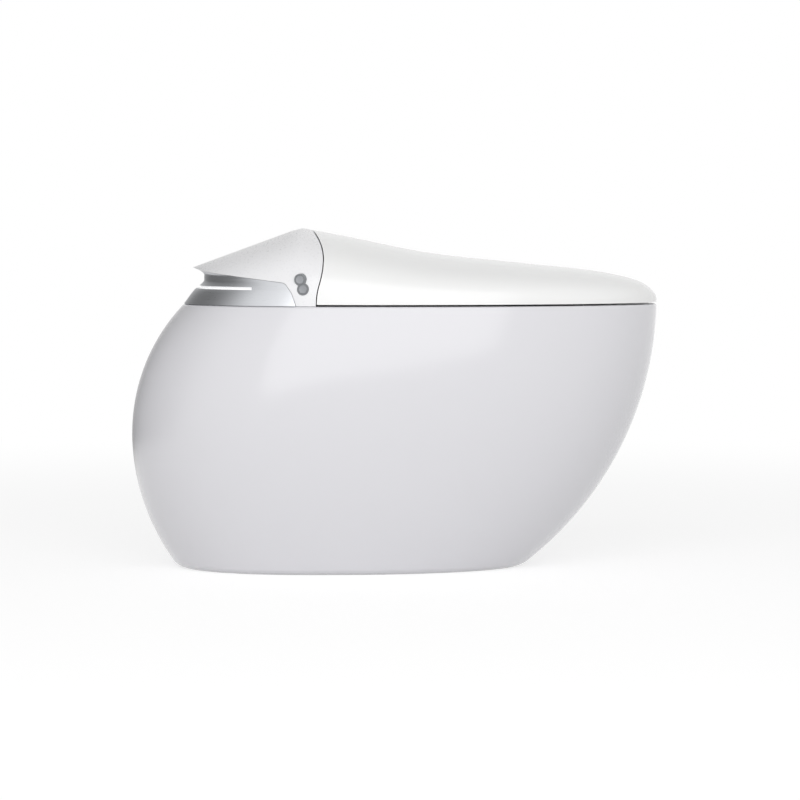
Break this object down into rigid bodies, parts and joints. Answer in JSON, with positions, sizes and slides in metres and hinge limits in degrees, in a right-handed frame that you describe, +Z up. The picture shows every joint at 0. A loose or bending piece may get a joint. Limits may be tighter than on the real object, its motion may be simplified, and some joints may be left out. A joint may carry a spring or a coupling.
{
  "type": "smart toilet",
  "caption": "Floor-standing egg-shaped smart toilet with a tapered lid, heated seat, wash wands, warm-air dryer, silver trim band and side push buttons.",
  "frame": {"origin": "on the floor, at the middle of the bounding box in plan", "axes": "+X to the front of the toilet, +Y to the sitter's left, +Z up"},
  "size_m": [0.7199, 0.436, 0.4635],
  "materials": {
    "china": "smooth white glaze",
    "white_gloss": "gloss white moulding",
    "lid_gloss": "gloss white lid",
    "trim_silver": "fine brushed silver",
    "white_matte": "matte white",
    "bezel_grey": "satin grey",
    "button_grey": "satin silver grey",
    "soft_grey": "soft pale grey",
    "rubber": "matte black",
    "hose": "grey braided look",
    "inner_plastic": "plain moulding",
    "black_plastic": "plain black moulding",
    "coil": "potted coil",
    "steel": "plated steel",
    "wand_steel": "polished steel tube",
    "brass": "turned brass",
    "circuit": "green board",
    "film": "copper-coloured film"
  },
  "bodies": {
    "pedestal": {"ceramic_body": "china", "ceramic_bowl": "china", "outlet_seal": "rubber", "service_grommet": "rubber", "flush_valve": "inner_plastic", "flush_coils": "coil", "valve_straps": "steel", "inlet_fitting": "brass", "rim_hose": "hose", "jet_hose": "hose", "wash_hose": "hose", "rim_jet": "inner_plastic", "siphon_jet": "inner_plastic", "base_tray": "inner_plastic", "tray_bolts": "steel", "rear_cover": "white_gloss", "trim_band": "trim_silver", "slit_strip": "white_matte", "hinge_bracket_left": "steel", "hinge_bracket_right": "steel", "seat_pin": "steel", "seat_damper": "black_plastic", "lid_damper": "black_plastic", "lid_pin": "steel", "nozzle_carrier": "inner_plastic", "nozzle_shield": "white_gloss", "rear_wand_motor": "steel", "front_wand_motor": "steel", "dryer_housing": "black_plastic", "dryer_motor": "steel", "water_heater": "inner_plastic", "power_supply": "steel", "control_board": "circuit", "button_bezel": "bezel_grey", "button_board": "circuit"},
    "seat": {"seat_base": "white_gloss", "seat_top": "white_gloss", "seat_heater": "film", "seat_bumpers": "soft_grey"},
    "lid": {"lid_shell": "lid_gloss", "lid_liner": "white_gloss", "lid_bumpers": "soft_grey"},
    "flush_button": {"flush_button": "button_grey"},
    "stop_button": {"stop_button": "button_grey"},
    "rear_wand": {"rear_wash_wand": "wand_steel"},
    "front_wand": {"front_wash_wand": "wand_steel"},
    "rear_pinion": {"rear_wand_pinion": "white_matte"},
    "front_pinion": {"front_wand_pinion": "white_matte"},
    "dryer_wheel": {"dryer_wheel": "black_plastic"},
    "dryer_flap": {"dryer_flap": "white_matte"}
  },
  "joints": [
    {"name": "seat_lift", "type": "hinge", "parent": "pedestal", "child": "seat", "pos_m": [-0.146, 0, 0.42], "axis": [0, 1, 0], "range_deg": [-88, 0]},
    {"name": "lid_lift", "type": "hinge", "parent": "seat", "child": "lid", "pos_m": [-0.146, 0, 0.42], "axis": [0, -1, 0], "range_deg": [0, 95]},
    {"name": "flush_press", "type": "slide", "parent": "pedestal", "child": "flush_button", "axis": [0.2588, 0.9659, 0], "range_m": [0, 0.0015], "stiffness_N_per_m": 800},
    {"name": "stop_press", "type": "slide", "parent": "pedestal", "child": "stop_button", "axis": [0.2588, 0.9659, 0], "range_m": [0, 0.0015], "stiffness_N_per_m": 800},
    {"name": "rear_wand_slide", "type": "slide", "parent": "pedestal", "child": "rear_wand", "axis": [0.9272, 0, -0.3746], "range_m": [0, 0.1]},
    {"name": "rear_pinion_turn", "type": "hinge", "parent": "pedestal", "child": "rear_pinion", "pos_m": [-0.1199, 0.014, 0.38573], "axis": [0, -1, 0], "range_deg": [0, 640]},
    {"name": "front_wand_slide", "type": "slide", "parent": "pedestal", "child": "front_wand", "axis": [0.9272, 0, -0.3746], "range_m": [0, 0.1]},
    {"name": "front_pinion_turn", "type": "hinge", "parent": "pedestal", "child": "front_pinion", "pos_m": [-0.1199, 0.04, 0.38573], "axis": [0, -1, 0], "range_deg": [0, 640]},
    {"name": "dryer_wheel_turn", "type": "hinge", "parent": "pedestal", "child": "dryer_wheel", "pos_m": [-0.19812, -0.04, 0.3977], "axis": [0.3746, 0, 0.9272], "continuous": true},
    {"name": "dryer_flap_swing", "type": "hinge", "parent": "pedestal", "child": "dryer_flap", "pos_m": [-0.09213, -0.029, 0.36372], "axis": [0, -1, 0], "range_deg": [0, 65], "stiffness_Nm_per_rad": 0.0005, "springref_deg": -22.92}
  ],
  "couplings": [
    {"joint": "rear_pinion_turn", "follows": "rear_wand_slide", "rad_per_m": 111.11},
    {"joint": "front_pinion_turn", "follows": "front_wand_slide", "rad_per_m": 111.11}
  ]
}
